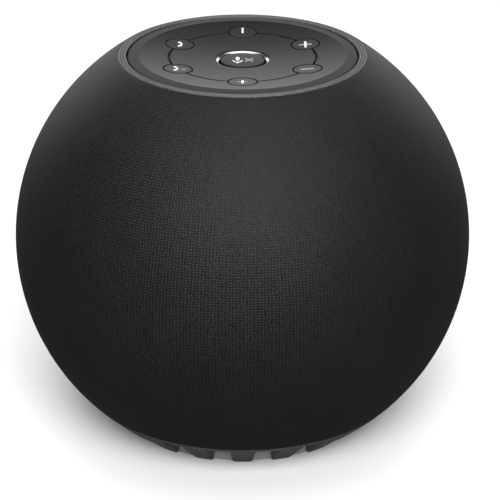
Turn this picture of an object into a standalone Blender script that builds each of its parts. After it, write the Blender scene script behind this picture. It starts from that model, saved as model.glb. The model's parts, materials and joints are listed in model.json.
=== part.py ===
"""Smart home hub: a fabric-wrapped ball speaker with a dished control panel on top and a toothed foot skirt.

Frame: metres, +Z up, origin on the floor under the ball's vertical axis. The front faces -Y and the power
inlet faces +Y. Heights in the profiles below are millimetres above the ball's centre, unless a comment says
otherwise, and the parts hang from one empty at that centre.
"""

import math

import bmesh
import bpy
from mathutils import Matrix, Vector

MM = 0.001

# ---- driving dimensions, in millimetres -------------------------------------------------------------------
BALL_R = 75.0
CENTRE_H = 62.5  # ball centre above the floor
RIM_Z = 63.5  # flat top of the fabric rim
RIM_FLAT_R = 39.0  # where the rim's flat top turns down to the ball
PANEL_R = 36.75
RIM_HOLE_R = 37.25
DISH_R = 33.3
DISH_DEPTH = 2.1
PANEL_T = 2.0
KEY_RING_R = 23.6
KEY_R = 4.4
KEY_HOLE_R = 4.7
KEY_TRAVEL = 0.5
MUTE_R = 7.0
BEZEL_IN_R = 7.65
BEZEL_OUT_R = 8.4
BEZEL_SINK, BEZEL_FALL = 0.16, 0.42  # below the dish, and down its inner slope
FABRIC_T = 0.9
FABRIC_LOW_DEG = -42.54  # elevation of the fabric's lower edge, seen from the ball's centre
SHELL_R = 73.2
SHELL_T = 2.2
TEETH = 21
TOOTH_START_DEG = -90.0 - 90.0 / TEETH  # a tooth is centred on the front
SKIRT_BORE_R = 40.5
SKIRT_FOOT_BORE_R = 41.7
SKIRT_BEND_Z = -57.0  # the teeth run straight below here
TOOTH_LOW_Z = -62.45
SLOT_TOP_Z = -52.35
SKIRT_TOP_Z = -50.35
SKIRT_TOP_R = 53.9
SKIRT_SEAM_DEG = 0.27  # seam between the fabric and the skirt
GAP = 0.3  # between pieces that touch

# ---- resolutions ------------------------------------------------------------------------------------------
SEG_BALL = 32
SEG_PANEL = 36
SEG_MID = 24
SEG_SMALL = 16
SEG_TINY = 8

# ---- inside layout ----------------------------------------------------------------------------------------
BOARD_TOP_Z = 54.0  # control board
BOARD_T = 1.2
BOARD_R = 33.0
SWITCH_BODY = 4.6
SWITCH_H = 1.6
PLUNGER_R = 1.2
PLUNGER_H = 0.8
KEY_FLANGE_R = 5.5
KEY_FLANGE_TOP_Z = 59.6
MUTE_FLANGE_R = 8.9
MUTE_FLANGE_TOP_Z = 58.9
FLANGE_T = 0.8
STEM_R = 1.5
STEM_LOW_Z = BOARD_TOP_Z + 0.2 + SWITCH_H + PLUNGER_H + KEY_TRAVEL + 0.15
CONTROL_BOSS_R = 29.0  # ring radius of the three board screws
SCREW_SHANK_R = 1.45
SCREW_HEAD_R = 2.6
SCREW_HEAD_H = 1.5
SCREW_HOLE_R = 1.75
BASE_POST_RING_R = 33.0
BASE_PLATE_R = 39.4
PLATE_LOW_Z = -60.5
CHASSIS_SCREW_RING_R = 40.0
CHASSIS_RING_R, CHASSIS_BORE_R = 50.3, 29.4
CHASSIS_LOW_Z, CHASSIS_TOP_Z = -47.0, -44.5
POST_R = 3.2
CHASSIS_SCREW_ANGLES = (90, 210, 330)
PORT_Z = -30.0
PORT_IN_W, PORT_IN_H, PORT_WALL = 20.0, 12.0, 1.5
PORT_FLOOR_Y = 58.0
WOOFER_COIL_IN_R, WOOFER_COIL_OUT_R = 9.6, 10.1
ENCLOSURE_R, ENCLOSURE_WALL = 46.0, 2.5
MAIN_BOARD_Z = 38.0  # underside
JACK_DEPTH = 9.0  # behind the pocket's floor

KEY_ANGLES = {
    "power_key": 90,
    "volume_up_key": 30,
    "volume_down_key": -30,
    "pairing_key": -90,
    "hang_up_key": -150,
    "answer_key": 150,
}

STAKE_ANGLES = (45, 135, 225, 315)
BOSS_ANGLES = (0, 120, 240)
MIC_ANGLES = (60, 180, 300)

COLOURS = {  # base colour, roughness, metallic
    "knit_fabric": ((0.016, 0.016, 0.018), 0.9, 0.0),
    "dark_plastic": ((0.02, 0.02, 0.02), 0.45, 0.0),
    "panel_plastic": ((0.018, 0.018, 0.019), 0.35, 0.0),
    "chrome": ((0.8, 0.8, 0.8), 0.12, 1.0),
    "skirt_plastic": ((0.03, 0.03, 0.03), 0.55, 0.0),
    "rubber": ((0.015, 0.015, 0.015), 0.8, 0.0),
    "silicone": ((0.12, 0.12, 0.12), 0.7, 0.0),
    "circuit_board": ((0.01, 0.06, 0.03), 0.5, 0.0),
    "steel": ((0.5, 0.5, 0.5), 0.35, 1.0),
    "aluminium": ((0.6, 0.6, 0.62), 0.4, 1.0),
    "magnet": ((0.05, 0.05, 0.055), 0.6, 0.3),
    "paper_cone": ((0.03, 0.03, 0.03), 0.85, 0.0),
    "copper": ((0.6, 0.3, 0.15), 0.35, 1.0),
    "abs_grey": ((0.1, 0.1, 0.1), 0.6, 0.0),
}


# ---- modelling helpers ------------------------------------------------------------------------------------
def clear_scene():
    for obj in list(bpy.data.objects):
        bpy.data.objects.remove(obj, do_unlink=True)


def material(slot):
    if slot in bpy.data.materials:
        return bpy.data.materials[slot]
    colour, roughness, metallic = COLOURS[slot]
    made = bpy.data.materials.new(slot)
    made.use_nodes = True
    shader = made.node_tree.nodes["Principled BSDF"]
    shader.inputs["Base Color"].default_value = (*colour, 1.0)
    shader.inputs["Roughness"].default_value = roughness
    shader.inputs["Metallic"].default_value = metallic
    return made


def finish_object(name, bm, slot, at=(0, 0, 0), smooth_deg=35.0):
    """Turns a bmesh in millimetres into an object in metres, hung from the ball's centre at a point."""
    bmesh.ops.recalc_face_normals(bm, faces=bm.faces)
    bmesh.ops.scale(bm, vec=(MM, MM, MM), verts=bm.verts)
    mesh = bpy.data.meshes.new(name)
    bm.to_mesh(mesh)
    bm.free()
    mesh.shade_smooth()
    mesh.set_sharp_from_angle(angle=math.radians(smooth_deg))
    mesh.materials.append(material(slot))
    obj = bpy.data.objects.new(name, mesh)
    bpy.context.scene.collection.objects.link(obj)
    obj.parent = bpy.data.objects["ball_centre"]
    obj.location = Vector(at) * MM
    return obj


def lathe_bm(profile, segments):
    """A closed ring, or a plug if the profile meets the axis, from a closed profile of (radius, height)."""
    bm = bmesh.new()
    points = [bm.verts.new((r if r > 1e-6 else 0.0, 0.0, z)) for r, z in profile]
    edges = []
    for a, b in zip(points, points[1:] + points[:1]):
        if a.co.x > 0.0 or b.co.x > 0.0:
            edges.append(bm.edges.new((a, b)))
    bmesh.ops.spin(bm, geom=points + edges, cent=(0, 0, 0), axis=(0, 0, 1), angle=math.tau, steps=segments)
    bmesh.ops.remove_doubles(bm, verts=bm.verts, dist=1e-3)
    return bm


def lathe(name, profile, segments, slot, at=(0, 0, 0)):
    return finish_object(name, lathe_bm(profile, segments), slot, at)


def arc(cx, cz, radius, start_deg, end_deg, steps):
    """Points of an arc in the profile plane, both ends included."""
    span = end_deg - start_deg
    angles = [math.radians(start_deg + span * i / steps) for i in range(steps + 1)]
    return [(cx + radius * math.cos(a), cz + radius * math.sin(a)) for a in angles]


def disc_profile(radius, low, high, bore=0.0, bevel=0.0):
    """Profile of a flat disc or washer, with its outer edges bevelled."""
    outer = [(radius - bevel, low), (radius, low + bevel), (radius, high - bevel), (radius - bevel, high)]
    if bevel == 0.0:
        outer = [(radius, low), (radius, high)]
    return [(bore, low), *outer, (bore, high)]


def box_bm(size, centre, bevel=0.0):
    bm = bmesh.new()
    bmesh.ops.create_cube(bm, size=1.0)
    bmesh.ops.scale(bm, vec=size, verts=bm.verts)
    if bevel:
        bmesh.ops.bevel(bm, geom=bm.edges[:], offset=bevel, segments=1, affect="EDGES")
    bmesh.ops.translate(bm, vec=centre, verts=bm.verts)
    return bm


def rounded_bar_bm(width, height, low_y, high_y, radius, centre_z, corner_steps=4):
    """A bar along Y whose cross-section in XZ is a rectangle with round corners."""
    bm = bmesh.new()
    outline = []
    corners = ((1, 1, 0), (-1, 1, 90), (-1, -1, 180), (1, -1, 270))
    for sx, sz, start in corners:
        cx, cz = sx * (width / 2 - radius), sz * (height / 2 - radius)
        outline += arc(cx, cz, radius, start, start + 90, corner_steps)
    near = [bm.verts.new((x, low_y, centre_z + z)) for x, z in outline]
    face = bm.faces.new(near)
    moved = bmesh.ops.extrude_face_region(bm, geom=[face])["geom"]
    ends = [g for g in moved if isinstance(g, bmesh.types.BMVert)]
    bmesh.ops.translate(bm, vec=(0, high_y - low_y, 0), verts=ends)
    return bm


def helper(obj):
    """Marks an object as a cutter or a tool, which isn't a part."""
    obj.hide_render = True
    obj.display_type = "WIRE"
    return obj


def boolean(target, tool, operation="DIFFERENCE"):
    modifier = target.modifiers.new(tool.name, "BOOLEAN")
    modifier.operation = operation
    modifier.solver = "EXACT"
    modifier.object = helper(tool)
    return target


def moved(bm, at=(0, 0, 0), turn_deg=0.0, axis="Z"):
    """Turns a bmesh about an axis through its origin, then moves it."""
    turn = Matrix.Rotation(math.radians(turn_deg), 3, axis)
    bmesh.ops.rotate(bm, verts=bm.verts, cent=(0, 0, 0), matrix=turn)
    bmesh.ops.translate(bm, vec=at, verts=bm.verts)
    return bm


def rod_bm(radius, low, high, at=(0, 0, 0), segments=SEG_TINY):
    return moved(lathe_bm(disc_profile(radius, low, high), segments), at)


def combine(target, operation, pieces):
    """Adds or takes away several separate solids, given as bmeshes in the target's own frame, in one go."""
    whole = bmesh.new()
    for piece in pieces:
        bmesh.ops.recalc_face_normals(piece, faces=piece.faces)
        scratch = bpy.data.meshes.new("scratch")
        piece.to_mesh(scratch)
        piece.free()
        whole.from_mesh(scratch)
        bpy.data.meshes.remove(scratch)
    prefix = "join_" if operation == "UNION" else "cut_"
    tool = finish_object(prefix + target.name, whole, "dark_plastic", Vector(target.location) / MM)
    return boolean(target, tool, operation)


def ring_point(radius, angle_deg, z=0.0):
    a = math.radians(angle_deg)
    return (radius * math.cos(a), radius * math.sin(a), z)


KEY_SPOTS = {name: ring_point(KEY_RING_R, angle) for name, angle in KEY_ANGLES.items()}
BOSS_SPOTS = [ring_point(CONTROL_BOSS_R, angle) for angle in BOSS_ANGLES]
MIC_SPOTS = [ring_point(KEY_RING_R, angle) for angle in MIC_ANGLES]
STAKE_SPOTS = [ring_point(34.0, angle) for angle in STAKE_ANGLES]


def ball_point(radius, elevation_deg):
    a = math.radians(elevation_deg)
    return (radius * math.cos(a), radius * math.sin(a))


def ball_arc(radius):
    """The covered part of the ball's meridian, with a point on the equator."""
    return arc(0, 0, radius, FABRIC_LOW_DEG, 0.0, 4) + arc(0, 0, radius, 0.0, 56.0, 5)[1:]


def dish_z(radius):
    """Height of the control panel's dished face at a distance from the axis."""
    return RIM_Z - 0.1 - DISH_DEPTH * (1.0 - (radius / DISH_R) ** 2)


def windowed_shell(name, pairs, segments, is_open, slot, start_deg=0.0):
    """A turned wall given as (outer point, inner point) pairs up its meridian, with some cells left open."""
    bm = bmesh.new()
    bands = len(pairs) - 1
    rings = []
    for i in range(segments):
        a = math.tau * i / segments + math.radians(start_deg)
        c, s = math.cos(a), math.sin(a)
        rings.append([[bm.verts.new((p[0] * c, p[0] * s, p[1])) for p in pair] for pair in pairs])

    def solid(i, j):
        return 0 <= j < bands and not is_open(i % segments, j)

    for i in range(segments):
        here, after = rings[i], rings[(i + 1) % segments]
        for j in range(bands):
            if not solid(i, j):
                continue
            bm.faces.new((here[j][0], after[j][0], after[j + 1][0], here[j + 1][0]))
            bm.faces.new((here[j][1], here[j + 1][1], after[j + 1][1], after[j][1]))
            if not solid(i, j - 1):
                bm.faces.new((here[j][0], here[j][1], after[j][1], after[j][0]))
            if not solid(i, j + 1):
                bm.faces.new((here[j + 1][0], after[j + 1][0], after[j + 1][1], here[j + 1][1]))
            if not solid(i - 1, j):
                bm.faces.new((here[j][0], here[j + 1][0], here[j + 1][1], here[j][1]))
            if not solid(i + 1, j):
                bm.faces.new((after[j][0], after[j][1], after[j + 1][1], after[j + 1][0]))
    loose = [v for v in bm.verts if not v.link_faces]
    bmesh.ops.delete(bm, geom=loose, context="VERTS")
    return finish_object(name, bm, slot)


# ---- outer skin -------------------------------------------------------------------------------------------
def port_window():
    """The bar-shaped cut that lets the power inlet's housing through the fabric and the shell."""
    width = PORT_IN_W + 2 * PORT_WALL + 2 * GAP
    height = PORT_IN_H + 2 * PORT_WALL + 2 * GAP
    bm = rounded_bar_bm(width, height, 50.0, 80.0, 4.8, PORT_Z)
    return helper(finish_object("cut_port_window", bm, "dark_plastic"))


def fabric_cover(window):
    roll_r, tuck_depth = 0.55, 2.0
    tuck_r = RIM_HOLE_R + FABRIC_T
    outer = ball_arc(BALL_R)
    rim = [(RIM_FLAT_R + 1.35, RIM_Z - 0.5), (RIM_FLAT_R - 0.5, RIM_Z)]
    roll = arc(RIM_HOLE_R + roll_r, RIM_Z - roll_r, roll_r, 90, 180, 2)
    tuck = [(RIM_HOLE_R, RIM_Z - tuck_depth), (tuck_r, RIM_Z - tuck_depth), (tuck_r, RIM_Z - FABRIC_T)]
    inner = ball_arc(BALL_R - FABRIC_T)[::-1]
    cover = lathe("fabric_cover", outer + rim + roll + tuck + inner, SEG_BALL, "knit_fabric")
    return boolean(cover, window)


def grille_shells(window):
    """Two moulded half balls with sound slots, joined by a lip inside the equator."""
    inner_r = SHELL_R - SHELL_T
    bands = (6, 19.3, 32.6, 46)
    upper = [((SHELL_R, 0.3), (inner_r, 0.3))]
    upper += [(ball_point(SHELL_R, e), ball_point(inner_r, e)) for e in bands]
    upper += [(ball_point(SHELL_R, 54.5), (41.9, 57.2))]
    upper += [((40.6, 61.4), (40.1, 58.6)), ((38.6, 62.1), (38.6, 59.0))]
    windowed_shell(
        "upper_grille_shell", upper, SEG_BALL, lambda i, j: i % 2 == 0 and 1 <= j <= 3, "dark_plastic"
    )
    lower = [((53.7, -50.05), (50.6, -50.05)), (ball_point(SHELL_R, -40.2), (50.6, -47.4))]
    lower += [(ball_point(SHELL_R, -36), ball_point(inner_r, -38))]
    lower += [(ball_point(SHELL_R, e), ball_point(inner_r, e)) for e in (-21, -6)]
    lower += [((SHELL_R, -0.3), (68.8, -3.0)), ((70.5, -0.3), (68.8, 0.0)), ((70.5, 3.0), (68.8, 3.0))]
    shell = windowed_shell(
        "lower_grille_shell", lower, SEG_BALL, lambda i, j: i % 2 == 0 and 2 <= j <= 3, "dark_plastic"
    )
    return boolean(shell, window)


def skirt_face_r(z):
    """The skirt follows the ball, then runs straight on below its bend."""
    bend_r = math.sqrt(BALL_R**2 - SKIRT_BEND_Z**2)
    if z > SKIRT_BEND_Z:
        return math.sqrt(BALL_R**2 - z * z)
    return bend_r + (z - SKIRT_BEND_Z) * -SKIRT_BEND_Z / bend_r


def skirt_bore_r(z):
    """The bore is straight above the slots and widens a little towards the foot."""
    down = min(1.0, max(0.0, (SLOT_TOP_Z - z) / (SLOT_TOP_Z - TOOTH_LOW_Z)))
    return SKIRT_BORE_R + (SKIRT_FOOT_BORE_R - SKIRT_BORE_R) * down


def base_skirt():
    """The foot ring that carries on the ball's curve, cut into teeth by radial sound slots."""
    slot_bands = 3
    heights = (TOOTH_LOW_Z, SKIRT_BEND_Z, (SKIRT_BEND_Z + SLOT_TOP_Z) / 2, SLOT_TOP_Z)
    face = [(skirt_face_r(z), z) for z in heights] + [ball_point(BALL_R, FABRIC_LOW_DEG - SKIRT_SEAM_DEG)]
    pairs = [(point, (skirt_bore_r(point[1]), point[1])) for point in face]
    pairs.append(((SKIRT_TOP_R, SKIRT_TOP_Z), (SKIRT_BORE_R, SKIRT_TOP_Z)))

    def is_slot(i, j):
        return i % 2 == 1 and j < slot_bands

    windowed_shell("base_skirt", pairs, 2 * TEETH, is_slot, "skirt_plastic", TOOTH_START_DEG)


# ---- base -------------------------------------------------------------------------------------------------
def screw(name, at, length):
    """A screw with its head down and a driver slot: the head's outer face is at the given point."""
    profile = [
        (0, 0), (SCREW_HEAD_R, 0), (SCREW_HEAD_R, SCREW_HEAD_H), (SCREW_SHANK_R, SCREW_HEAD_H),
        (SCREW_SHANK_R, length), (0, length),
    ]
    made = lathe(name, profile, SEG_TINY, "steel", at)
    combine(made, "DIFFERENCE", [box_bm((3.4, 0.8, 1.6), (0, 0, 0))])


def base_parts():
    """The plate, its foot, the grille behind the teeth, and the ring that carries the loudspeaker."""
    under = PLATE_LOW_Z
    step_r, step_h, plate_t = 36.3, 0.8, 3.0  # the foot ring sits outside the step
    plate_profile = [
        (0, under), (step_r, under), (step_r, under + step_h), (BASE_PLATE_R, under + step_h),
        (BASE_PLATE_R, under + plate_t), (0, under + plate_t),
    ]
    plate = lathe("base_plate", plate_profile, SEG_MID, "dark_plastic")
    foot = disc_profile(BASE_PLATE_R, -CENTRE_H, under + step_h - GAP, bore=step_r + GAP)
    lathe("foot_ring", foot, SEG_MID, "rubber")
    ring_profile = disc_profile(CHASSIS_RING_R, CHASSIS_LOW_Z, CHASSIS_TOP_Z, bore=CHASSIS_BORE_R)
    ring = lathe("chassis_ring", ring_profile, SEG_MID, "abs_grey")
    plate_spots = [ring_point(BASE_POST_RING_R, angle) for angle in (30, 150, 270)]
    ring_spots = [ring_point(CHASSIS_SCREW_RING_R, angle) for angle in CHASSIS_SCREW_ANGLES]
    combine(plate, "UNION", [rod_bm(POST_R, under + 2.0, CHASSIS_LOW_Z - GAP, spot) for spot in plate_spots])
    sink_r, sink_z = SCREW_HEAD_R + GAP, under + 2.4
    below, above = under - 3.5, CHASSIS_LOW_Z + 2.0  # clear of both faces of the plate and its posts
    stepped = [(0, below), (sink_r, below), (sink_r, sink_z), (SCREW_HOLE_R, sink_z)]
    stepped += [(SCREW_HOLE_R, above), (0, above)]
    combine(plate, "DIFFERENCE", [moved(lathe_bm(stepped, SEG_TINY), spot) for spot in plate_spots])
    through = [rod_bm(SCREW_HOLE_R, -50, -40, spot) for spot in plate_spots + ring_spots]
    combine(ring, "DIFFERENCE", through)
    for i, (x, y, _) in enumerate(plate_spots):
        screw(f"base_screw_{i + 1}", (x, y, under + 0.6), 14.8)
    for i, (x, y, _) in enumerate(ring_spots):
        screw(f"chassis_screw_{i + 1}", (x, y, CHASSIS_LOW_Z - GAP - SCREW_HEAD_H), 8.8)
    sound_grille()


def sound_grille():
    """Thin ring behind the teeth, open where the skirt's slots are."""
    wall, lower_band, overlap = 0.5, 1.6, 1.4
    heights = (TOOTH_LOW_Z, TOOTH_LOW_Z + lower_band, SLOT_TOP_Z, SLOT_TOP_Z + overlap)
    pairs = [((skirt_bore_r(z) - GAP, z), (skirt_bore_r(z) - GAP - wall, z)) for z in heights]

    def is_slot(i, j):
        return i % 2 == 1 and j == 1

    windowed_shell("sound_grille_ring", pairs, 2 * TEETH, is_slot, "steel", TOOTH_START_DEG)


# ---- control panel ----------------------------------------------------------------------------------------
def top_panel():
    """The dished plate with the ring groove, six key holes, the bezel's hole and three screw bosses."""
    groove = 0.3  # half the ring groove's width
    face = [(r, dish_z(r)) for r in (0, 12, KEY_RING_R - groove)]
    face += [(KEY_RING_R - groove, dish_z(KEY_RING_R) - 0.8), (KEY_RING_R + groove, dish_z(KEY_RING_R) - 0.8)]
    face += [(r, dish_z(r)) for r in (KEY_RING_R + groove, DISH_R)]
    band = [(PANEL_R - 0.35, RIM_Z - 0.3), (PANEL_R, RIM_Z - 0.65), (PANEL_R, RIM_Z - PANEL_T)]
    under = [(r, dish_z(r) - PANEL_T) for r in (DISH_R, 12.0, 0)]
    panel = lathe("top_panel", face + band + under, SEG_PANEL, "panel_plastic")
    combine(panel, "UNION", [rod_bm(2.4, BOARD_TOP_Z + 0.2, 62.0, spot) for spot in BOSS_SPOTS])
    cuts = [rod_bm(SCREW_SHANK_R + 0.1, 50, 60.5, spot) for spot in BOSS_SPOTS]
    cuts += [rod_bm(0.5, 50, 66, spot) for spot in MIC_SPOTS]
    cuts += [rod_bm(KEY_HOLE_R, 50, 66, spot, SEG_SMALL) for spot in KEY_SPOTS.values()]
    cuts.append(rod_bm(BEZEL_OUT_R + 0.12, 50, 66, segments=SEG_MID))
    combine(panel, "DIFFERENCE", cuts)


def key(name, x, y):
    """A key cap whose face follows the dish, with a flange that keeps it under the panel and a stem."""
    low = KEY_FLANGE_TOP_Z - FLANGE_T
    top = dish_z(KEY_RING_R)
    profile = [(0, top), (KEY_R - 0.25, top), (KEY_R, top - 0.25), (KEY_R, KEY_FLANGE_TOP_Z)]
    profile += [(KEY_FLANGE_R, KEY_FLANGE_TOP_Z), (KEY_FLANGE_R, low), (STEM_R, low), (STEM_R, STEM_LOW_Z)]
    profile += [(0, STEM_LOW_Z)]
    bm = lathe_bm([(r, z - top) for r, z in profile], SEG_SMALL)
    for v in bm.verts:
        if v.co.z > -0.5:
            v.co.z += dish_z(math.hypot(x + v.co.x, y + v.co.y)) - top
    return finish_object(name, bm, "panel_plastic", (x, y, top))


def keys():
    for name, (x, y, _) in KEY_SPOTS.items():
        key(name, x, y)
    low = MUTE_FLANGE_TOP_Z - FLANGE_T
    top = dish_z(0) - 0.15
    profile = [(0, top), (MUTE_R - 0.5, top), (MUTE_R, top - 0.45), (MUTE_R, MUTE_FLANGE_TOP_Z)]
    profile += [(MUTE_FLANGE_R, MUTE_FLANGE_TOP_Z), (MUTE_FLANGE_R, low), (STEM_R, low), (STEM_R, STEM_LOW_Z)]
    profile += [(0, STEM_LOW_Z)]
    lathe("mute_key", [(r, z - top) for r, z in profile], SEG_MID, "panel_plastic", (0, 0, top))
    high, base = dish_z(BEZEL_OUT_R), dish_z(0) - PANEL_T
    bezel = [
        (BEZEL_OUT_R, high - BEZEL_SINK), (BEZEL_IN_R, high - BEZEL_SINK - BEZEL_FALL),
        (BEZEL_IN_R, base), (BEZEL_OUT_R, base),
    ]
    lathe("mute_bezel", bezel, SEG_MID, "chrome")


def key_mat():
    """Silicone sheet on the control board, with a dome round each switch."""
    low = BOARD_TOP_Z + GAP
    sheet = lathe("key_mat", disc_profile(31.3, low, low + 0.6), SEG_MID, "silicone")
    spots = [(*spot[:2], 5.4, 3.6, KEY_FLANGE_TOP_Z) for spot in KEY_SPOTS.values()]
    spots.append((0.0, 0.0, 7.4, 5.6, MUTE_FLANGE_TOP_Z))
    domes, cuts = [], []
    for x, y, wide, narrow, flange_top in spots:
        top = flange_top - FLANGE_T - KEY_TRAVEL - 0.15
        solid = [(0, low + 0.3), (wide, low + 0.3), (wide, low + 1.0), (narrow, top), (0, top)]
        hollow = [(0, low - 1), (wide - 1.2, low - 1), (wide - 1.2, low + 0.4), (narrow - 0.9, top - 0.7)]
        hollow += [(narrow - 0.9, top + 1), (0, top + 1)]
        domes.append(moved(lathe_bm(solid, SEG_TINY), (x, y, 0)))
        cuts.append(moved(lathe_bm(hollow, SEG_TINY), (x, y, 0)))
    cuts += [rod_bm(3.0, low - 1, low + 2, spot) for spot in BOSS_SPOTS]
    cuts += [box_bm((5.4, 5.4, 4), (x, y, low)) for x, y, _ in MIC_SPOTS]
    combine(sheet, "UNION", domes)
    combine(sheet, "DIFFERENCE", cuts)


def control_board():
    low = BOARD_TOP_Z - BOARD_T
    board = lathe("control_board", disc_profile(BOARD_R, low, BOARD_TOP_Z), SEG_MID, "circuit_board")
    combine(board, "DIFFERENCE", [rod_bm(SCREW_HOLE_R, 50, 58, spot) for spot in BOSS_SPOTS])
    for i, (x, y, _) in enumerate(BOSS_SPOTS):
        screw(f"board_screw_{i + 1}", (x, y, low - GAP - SCREW_HEAD_H), 8.6)
    for i, (x, y, _) in enumerate(MIC_SPOTS):
        can = box_bm((3.8, 3.0, 1.1), (0, 0, 0.75))
        finish_object(f"microphone_{i + 1}", can, "steel", (x, y, BOARD_TOP_Z))
    spots = {name.replace("_key", "_switch"): spot for name, spot in KEY_SPOTS.items()}
    spots["mute_switch"] = (0.0, 0.0, 0.0)
    for name, (x, y, _) in spots.items():
        bm = box_bm((SWITCH_BODY, SWITCH_BODY, SWITCH_H), (0, 0, 0.2 + SWITCH_H / 2))
        body = finish_object(name, bm, "dark_plastic", (x, y, BOARD_TOP_Z))
        high = 0.2 + SWITCH_H
        combine(body, "UNION", [rod_bm(PLUNGER_R, high - 0.4, high + PLUNGER_H)])


def panel_carrier():
    """The ring that holds the panel up and keeps the fabric's tucked edge against the shell."""
    profile = [(30.9, 57.6), (39.8, 57.6), (39.8, 58.3), (38.1, 58.5), (38.1, 61.1)]
    profile += [(34.0, 61.1), (34.0, 59.4), (30.9, 59.4)]
    ring = lathe("panel_carrier", profile, SEG_PANEL, "abs_grey")
    combine(ring, "DIFFERENCE", [rod_bm(2.8, 55, 63, spot) for spot in BOSS_SPOTS])


# ---- loudspeaker ------------------------------------------------------------------------------------------
def woofer():
    basket = lathe(
        "woofer_basket",
        [
            (29.0, -44.2), (35.0, -44.2), (35.0, -42.2), (33.2, -42.2), (25.0, -26.0), (24.0, -24.5),
            (12.5, -24.5), (12.5, -26.0), (23.0, -26.0), (31.0, -42.2), (29.0, -42.6),
        ],
        SEG_MID,
        "steel",
    )
    windows = [moved(box_bm((14.0, 14.0, 9.0), (30.0, 0, -33.0)), turn_deg=90.0 * i) for i in range(4)]
    combine(basket, "DIFFERENCE", windows)
    plate_low, plate_top = -24.2, -20.7
    magnet_low, magnet_top = plate_top + GAP, -10.4
    yoke_low, yoke_top, pole_r, plate_r = magnet_top + GAP, -6.6, 9.0, 22.0
    lathe("woofer_top_plate", disc_profile(plate_r, plate_low, plate_top, bore=10.8), SEG_MID, "steel")
    magnet = disc_profile(24.0, magnet_low, magnet_top, bore=13.0, bevel=0.8)
    lathe("woofer_magnet", magnet, SEG_MID, "magnet")
    yoke = [(0, plate_low), (pole_r, plate_low), (pole_r, yoke_low), (plate_r, yoke_low)]
    yoke += [(plate_r, yoke_top), (0, yoke_top)]
    lathe("woofer_yoke", yoke, SEG_MID, "steel")
    coil = disc_profile(WOOFER_COIL_OUT_R, -33.0, -19.0, bore=WOOFER_COIL_IN_R)
    lathe("woofer_voice_coil", coil, SEG_SMALL, "copper")
    cone = [(24.0, -42.4), (23.6, -41.4), (10.4, -31.4), (10.4, -32.4), (22.9, -42.0), (23.2, -42.8)]
    lathe("woofer_cone", cone, SEG_MID, "paper_cone")
    cap = arc(0, -27.1, 10.5, -90, -31, 3)
    inner = arc(0, -27.1, 9.9, -34, -90, 3)
    lathe("woofer_dust_cap", cap + inner, SEG_SMALL, "paper_cone")
    roll = arc(26.5, -43.2, 2.2, -180, 0, 4) + arc(26.5, -43.2, 1.7, 0, -180, 4)
    lathe("woofer_surround", roll, SEG_MID, "rubber")
    waves = [(10.6 + 1.6 * i, -28.6 + (0.7 if i % 2 else 0.0)) for i in range(8)]
    lathe("woofer_spider", waves + [(r, z + 0.6) for r, z in reversed(waves)], SEG_SMALL, "paper_cone")


def enclosure():
    """The sealed box behind the woofer, in two halves with a gasket between them."""
    r, t = ENCLOSURE_R, ENCLOSURE_WALL
    flange_r, low, high, bore = r + 2.5, -41.9, 33.0, 33.6
    lower = [(bore, low), (r - 1, low), (r, low + 1), (r, -4.5), (flange_r, -3.5), (flange_r, -1.0)]
    lower += [(r - t, -1.0), (r - t, low + 2), (bore, low + 2)]
    bottom = lathe("enclosure_lower", lower, SEG_MID, "abs_grey")
    feet = [ring_point(CHASSIS_SCREW_RING_R, angle) for angle in CHASSIS_SCREW_ANGLES]
    combine(bottom, "UNION", [rod_bm(POST_R, CHASSIS_TOP_Z + GAP, -34.0, foot) for foot in feet])
    combine(bottom, "DIFFERENCE", [rod_bm(SCREW_SHANK_R + 0.1, -50, -37.0, foot) for foot in feet])
    lathe("enclosure_gasket", disc_profile(r + 1.5, -0.7, 0.2, bore=r - t + 0.6), SEG_MID, "rubber")
    upper = [(r - t, 0.5), (flange_r, 0.5), (flange_r, 3.0), (r, 4.0), (r, high - 2), (r - 2, high)]
    upper += [(0, high), (0, high - t), (r - t - 1.5, high - t), (r - t, high - 4)]
    top = lathe("enclosure_upper", upper, SEG_MID, "abs_grey")
    shoulder = MAIN_BOARD_Z - GAP
    stake = [(0, high - 1), (2.6, high - 1), (2.6, shoulder), (1.3, shoulder), (1.3, 40.6), (0, 40.6)]
    combine(top, "UNION", [moved(lathe_bm(stake, SEG_TINY), spot) for spot in STAKE_SPOTS])


def tweeters():
    for side, angle in (("left", -138.0), ("right", -42.0)):
        profile = [(0, 0), (9, 0), (9, 4), (13, 5), (13, 11.5), (8.5, 11.0), (7.0, 11.0)]
        profile += arc(0, 6.1, 8.5, 35, 90, 2)
        bm = lathe_bm(profile, SEG_SMALL)
        bm = moved(moved(bm, turn_deg=90.0, axis="Y"), turn_deg=angle)
        finish_object(f"{side}_tweeter", bm, "abs_grey", ring_point(ENCLOSURE_R + GAP, angle, 18.0))


# ---- electronics ------------------------------------------------------------------------------------------
def electronics():
    board = lathe("main_board", disc_profile(41.0, MAIN_BOARD_Z, MAIN_BOARD_Z + 1.6), SEG_MID, "circuit_board")
    combine(board, "DIFFERENCE", [rod_bm(1.6, 36, 42, spot) for spot in STAKE_SPOTS])
    finish_object("rf_shield", box_bm((26, 20, 3), (17, -3, 41.4), bevel=0.5), "steel")
    sink = finish_object("heat_sink", box_bm((30, 28, 2.2), (-17, 0, 41.0)), "aluminium")
    combine(sink, "UNION", [box_bm((1.4, 27, 7.4), (-29.5 + 5.0 * i, 0, 45.5)) for i in range(6)])
    strip = [(-6.0, 25.0, 52.4), (6.0, 25.0, 52.4), (6.0, 25.0, 39.9), (-6.0, 25.0, 39.9)]
    bm = bmesh.new()
    face = bm.faces.new([bm.verts.new(p) for p in strip])
    ends = bmesh.ops.extrude_face_region(bm, geom=[face])["geom"]
    bmesh.ops.translate(bm, vec=(0, 0.5, 0), verts=[g for g in ends if isinstance(g, bmesh.types.BMVert)])
    finish_object("control_ribbon", bm, "silicone")


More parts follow.
